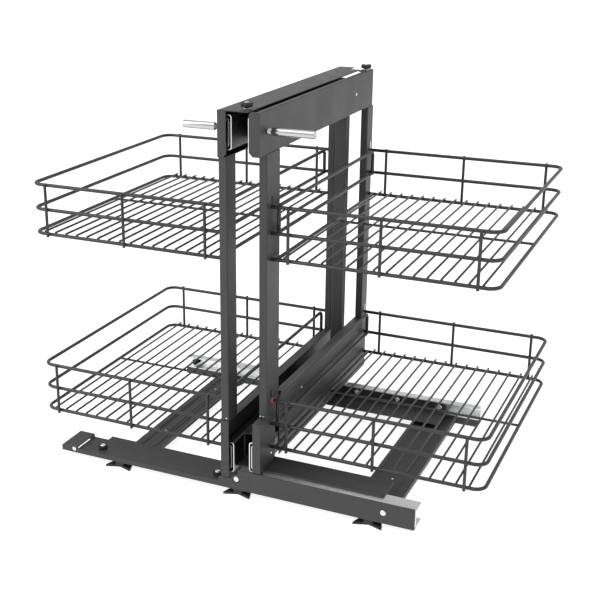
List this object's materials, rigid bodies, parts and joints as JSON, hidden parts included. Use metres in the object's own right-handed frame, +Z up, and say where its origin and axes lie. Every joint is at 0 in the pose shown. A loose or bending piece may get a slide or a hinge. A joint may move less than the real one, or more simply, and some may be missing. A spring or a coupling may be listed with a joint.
{
  "type": "blind corner pull-out organizer",
  "caption": "Pull-out corner cabinet organizer: wire baskets on two frames that slide forward from a carriage running sideways on a low floor base.",
  "frame": {"origin": "on the floor, in the middle of the width and depth at rest", "axes": "+X to the right seen from the front, +Y to the rear of the cabinet, +Z up"},
  "size_m": [0.78, 0.5126, 0.644],
  "materials": {
    "graphite_coat": "satin powder coat",
    "wire_coat": "satin powder coat",
    "slide_steel": "dark plated, bright cut ends",
    "zinc_steel": "zinc plated",
    "bright_screw": "bright zinc",
    "chrome_bar": "polished",
    "black_plastic": "matte",
    "roller_plastic": "satin acetal",
    "black_rubber": "matte",
    "orange_plastic": "matte"
  },
  "bodies": {
    "base": {"base_front_bar": "graphite_coat", "base_middle_bracket": "graphite_coat", "base_left_plate": "graphite_coat", "base_end_box": "graphite_coat", "left_cross_plate": "graphite_coat", "right_cross_plate": "graphite_coat", "base_rear_bar": "graphite_coat", "front_track": "zinc_steel", "rear_track": "zinc_steel", "track_bumper": "black_rubber", "base_feet": "black_plastic", "base_screws": "bright_screw", "rubber_bushes": "black_rubber"},
    "carriage": {"lower_beam": "graphite_coat", "upper_beam": "graphite_coat", "carriage_upright": "graphite_coat", "front_wing": "graphite_coat", "rear_wing": "graphite_coat", "front_roller_axles": "bright_screw", "rear_roller_axles": "bright_screw", "right_upper_slide_outer": "slide_steel", "right_lower_slide_outer": "slide_steel", "left_upper_slide_outer": "slide_steel", "left_lower_slide_outer": "slide_steel"},
    "front_roller_1": {"front_roller_1": "roller_plastic"},
    "front_roller_2": {"front_roller_2": "roller_plastic"},
    "rear_roller_1": {"rear_roller_1": "roller_plastic"},
    "rear_roller_2": {"rear_roller_2": "roller_plastic"},
    "rear_roller_3": {"rear_roller_3": "roller_plastic"},
    "right_slide_middles": {"right_upper_slide_middle": "slide_steel", "right_lower_slide_middle": "slide_steel", "right_ball_retainers": "bright_screw"},
    "left_slide_middles": {"left_upper_slide_middle": "slide_steel", "left_lower_slide_middle": "slide_steel", "left_ball_retainers": "bright_screw"},
    "right_frame": {"right_top_channel": "graphite_coat", "right_front_post": "graphite_coat", "right_rear_post": "graphite_coat", "right_front_bracket": "graphite_coat", "right_bottom_plate": "graphite_coat", "right_frame_rivets": "bright_screw", "right_handle_pin": "chrome_bar", "right_upper_slide_inner": "slide_steel", "right_lower_slide_inner": "slide_steel", "right_upper_basket": "wire_coat", "right_lower_basket": "wire_coat", "basket_wire_cap": "orange_plastic"},
    "left_frame": {"left_top_cover": "graphite_coat", "left_front_post": "graphite_coat", "left_rear_post": "graphite_coat", "left_bottom_rail": "graphite_coat", "left_frame_rivets": "bright_screw", "left_handle_pin": "chrome_bar", "left_upper_slide_inner": "slide_steel", "left_lower_slide_inner": "slide_steel", "left_upper_basket": "wire_coat", "left_lower_basket": "wire_coat"},
    "front_knob": {"front_knob": "black_plastic"},
    "rear_knob": {"rear_knob": "black_plastic"}
  },
  "joints": [
    {"name": "carriage_slide", "type": "slide", "parent": "base", "child": "carriage", "axis": [-1, 0, 0], "range_m": [0, 0.2]},
    {"name": "right_pull", "type": "slide", "parent": "carriage", "child": "right_frame", "axis": [0, -1, 0], "range_m": [0, 0.35]},
    {"name": "right_middle_pull", "type": "slide", "parent": "carriage", "child": "right_slide_middles", "axis": [0, -1, 0], "range_m": [0, 0.175]},
    {"name": "left_pull", "type": "slide", "parent": "carriage", "child": "left_frame", "axis": [0, -1, 0], "range_m": [0, 0.35]},
    {"name": "left_middle_pull", "type": "slide", "parent": "carriage", "child": "left_slide_middles", "axis": [0, -1, 0], "range_m": [0, 0.175]},
    {"name": "front_knob_turn", "type": "hinge", "parent": "left_frame", "child": "front_knob", "pos_m": [0.004, -0.229, 0.64], "axis": [0, 0, 1], "continuous": true},
    {"name": "rear_knob_turn", "type": "hinge", "parent": "right_frame", "child": "rear_knob", "pos_m": [0.028, 0.2275, 0.64], "axis": [0, 0, 1], "continuous": true},
    {"name": "front_roller_1_turn", "type": "hinge", "parent": "carriage", "child": "front_roller_1", "pos_m": [0.1995, -0.23275, 0.029], "axis": [0, -1, 0], "range_deg": [0, 871]},
    {"name": "front_roller_2_turn", "type": "hinge", "parent": "carriage", "child": "front_roller_2", "pos_m": [0.2275, -0.23275, 0.029], "axis": [0, -1, 0], "range_deg": [0, 871]},
    {"name": "rear_roller_1_turn", "type": "hinge", "parent": "carriage", "child": "rear_roller_1", "pos_m": [0.058, 0.1534, 0.035], "axis": [0, -1, 0], "range_deg": [0, 1242]},
    {"name": "rear_roller_2_turn", "type": "hinge", "parent": "carriage", "child": "rear_roller_2", "pos_m": [0.139, 0.1534, 0.035], "axis": [0, -1, 0], "range_deg": [0, 1242]},
    {"name": "rear_roller_3_turn", "type": "hinge", "parent": "carriage", "child": "rear_roller_3", "pos_m": [0.22, 0.1534, 0.035], "axis": [0, -1, 0], "range_deg": [0, 1242]}
  ],
  "couplings": [
    {"joint": "right_middle_pull", "follows": "right_pull", "ratio": 0.5},
    {"joint": "left_middle_pull", "follows": "left_pull", "ratio": 0.5},
    {"joint": "front_roller_1_turn", "follows": "carriage_slide", "rad_per_m": 75.188},
    {"joint": "front_roller_2_turn", "follows": "carriage_slide", "rad_per_m": 75.188},
    {"joint": "rear_roller_1_turn", "follows": "carriage_slide", "rad_per_m": 107.53},
    {"joint": "rear_roller_2_turn", "follows": "carriage_slide", "rad_per_m": 107.53},
    {"joint": "rear_roller_3_turn", "follows": "carriage_slide", "rad_per_m": 107.53}
  ]
}
